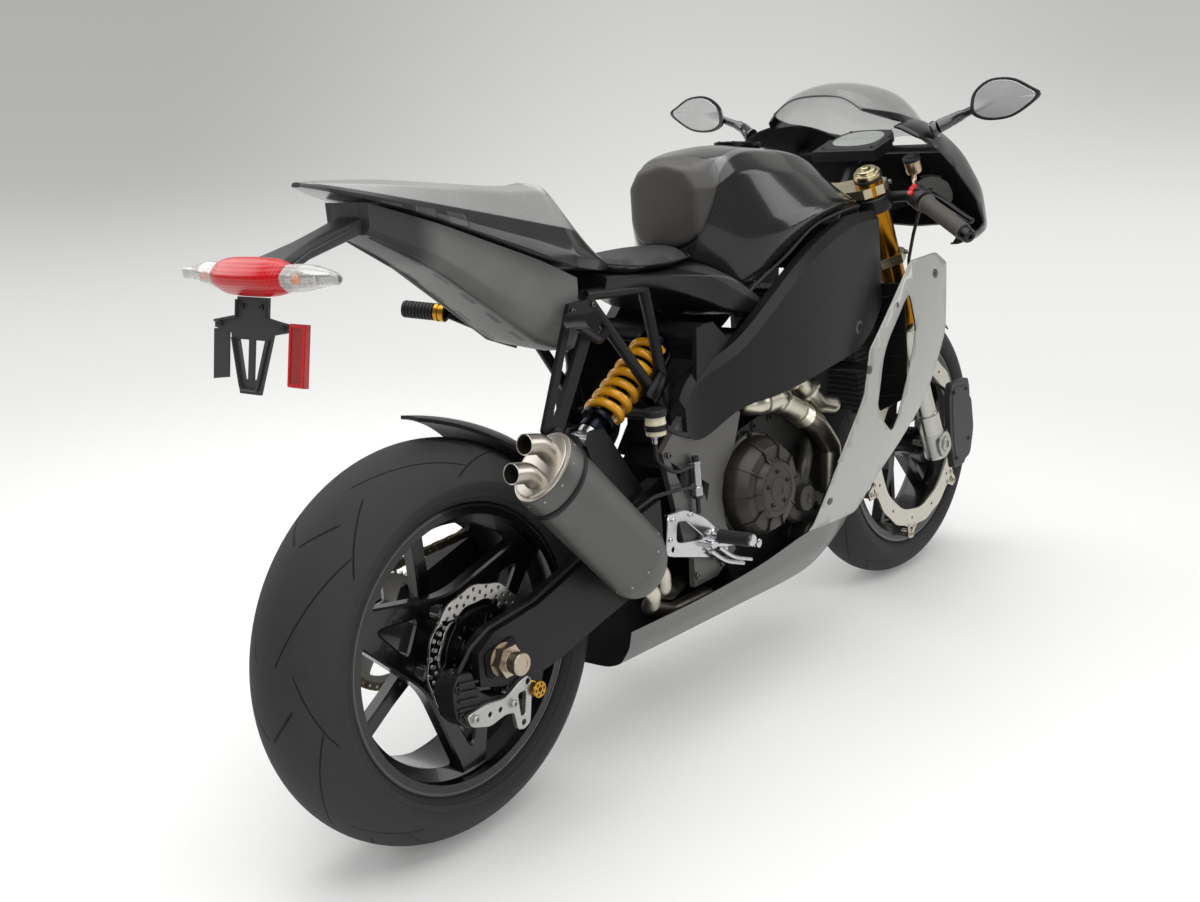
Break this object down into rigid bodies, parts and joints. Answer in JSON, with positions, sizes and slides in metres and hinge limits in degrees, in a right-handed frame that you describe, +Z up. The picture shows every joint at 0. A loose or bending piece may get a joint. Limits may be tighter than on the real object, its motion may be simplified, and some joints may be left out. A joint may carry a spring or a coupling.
{
  "type": "sport motorcycle",
  "caption": "Faired sport motorcycle with twin-spar frame, rim-mounted front rotor, side muffler and long tail, leaning on its side stand.",
  "frame": {"origin": "under the middle of the object's box, on the floor", "axes": "+X forward, +Y to the rider's left, +Z up; the bike leans 6.5 degrees to the left onto its stand"},
  "size_m": [2.0199, 0.8708, 1.1118],
  "materials": {
    "frame_black": "satin black",
    "plate_grey": "dark grey anodised",
    "arm_black": "satin black",
    "axle_bronze": "pale bronze",
    "caliper_silver": "machined",
    "shock_body": "dark anodised",
    "spring_gold": "gloss gold-yellow",
    "engine_black": "satin black",
    "cover_bronze": "dark bronze satin",
    "header_gold": "pale gold heat-tinted",
    "muffler_grey": "graphite",
    "end_plate": "champagne",
    "carbon_gloss": "dark gloss lacquer",
    "seat_fabric": "dark grey",
    "silver_paint": "silver-grey",
    "undertail_grey": "light grey",
    "lamp_red": "red lens",
    "signal_clear": "clear lens",
    "bracket_black": "dark grey",
    "reflector_red": "red",
    "hugger_black": "gloss black",
    "machined_silver": "polished",
    "reservoir_cream": "cream",
    "screen_clear": "clear",
    "radiator_black": "black core",
    "mirror_black": "black",
    "dash_black": "dark grey",
    "chain_steel": "oiled steel",
    "clamp_champagne": "champagne anodised",
    "fork_gold": "amber-gold anodised",
    "slider_silver": "silver",
    "bar_black": "dark grey",
    "caliper_dark": "dark",
    "tyre_rubber": "matte",
    "rim_black": "gloss black",
    "disc_steel": "brushed",
    "stand_black": "black",
    "hose_black": "black"
  },
  "bodies": {
    "chassis": {"frame_spars": "frame_black", "pivot_plates": "plate_grey", "subframe": "frame_black", "swingarm": "arm_black", "rear_axle": "axle_bronze", "rear_caliper": "caliper_silver", "rear_shock": "shock_body", "shock_spring": "spring_gold", "engine_case": "engine_black", "clutch_cover": "cover_bronze", "exhaust_pipes": "header_gold", "muffler": "muffler_grey", "muffler_end_plate": "end_plate", "tank_cover": "carbon_gloss", "seat_pad": "seat_fabric", "seat_base": "carbon_gloss", "tail_cowl": "silver_paint", "undertail": "undertail_grey", "tail_lamp_arm": "frame_black", "tail_lamp": "lamp_red", "turn_signals": "signal_clear", "plate_bracket": "bracket_black", "side_reflector": "reflector_red", "hugger": "hugger_black", "rearsets": "machined_silver", "brake_reservoir": "reservoir_cream", "upper_fairing": "silver_paint", "windscreen": "screen_clear", "headlights": "signal_clear", "side_fairing_right": "silver_paint", "side_fairing_left": "silver_paint", "belly_pan": "silver_paint", "radiator": "radiator_black", "mirrors": "mirror_black", "instrument_panel": "dash_black", "drive_chain": "chain_steel", "brake_hoses": "hose_black"},
    "fork": {"fork_clamps": "clamp_champagne", "fork_uppers": "fork_gold", "fork_sliders": "slider_silver", "handlebars": "bar_black", "front_fender": "hugger_black", "front_caliper": "caliper_dark", "front_brake_hose": "hose_black"},
    "front_wheel": {"front_tyre": "tyre_rubber", "front_rim": "rim_black", "front_rotor": "disc_steel"},
    "rear_wheel": {"rear_tyre": "tyre_rubber", "rear_rim": "rim_black", "rear_disc": "disc_steel", "rear_sprocket": "chain_steel"},
    "stand": {"side_stand": "stand_black"}
  },
  "joints": [
    {"name": "steering", "type": "hinge", "parent": "chassis", "child": "fork", "pos_m": [0.68386, -0.08499, 0.28879], "axis": [-0.3584, 0.1057, 0.9276], "range_deg": [-27, 27]},
    {"name": "front_wheel_spin", "type": "hinge", "parent": "fork", "child": "front_wheel", "pos_m": [0.71, -0.08385, 0.29876], "axis": [0, 0.9936, -0.1132], "continuous": true},
    {"name": "rear_wheel_spin", "type": "hinge", "parent": "chassis", "child": "rear_wheel", "pos_m": [-0.69, -0.08159, 0.31863], "axis": [0, 0.9936, -0.1132], "continuous": true},
    {"name": "side_stand_fold", "type": "hinge", "parent": "chassis", "child": "stand", "pos_m": [-0.17, 0.09792, 0.25993], "axis": [0.0883, 0.9755, 0.2014], "range_deg": [0, 99]}
  ]
}
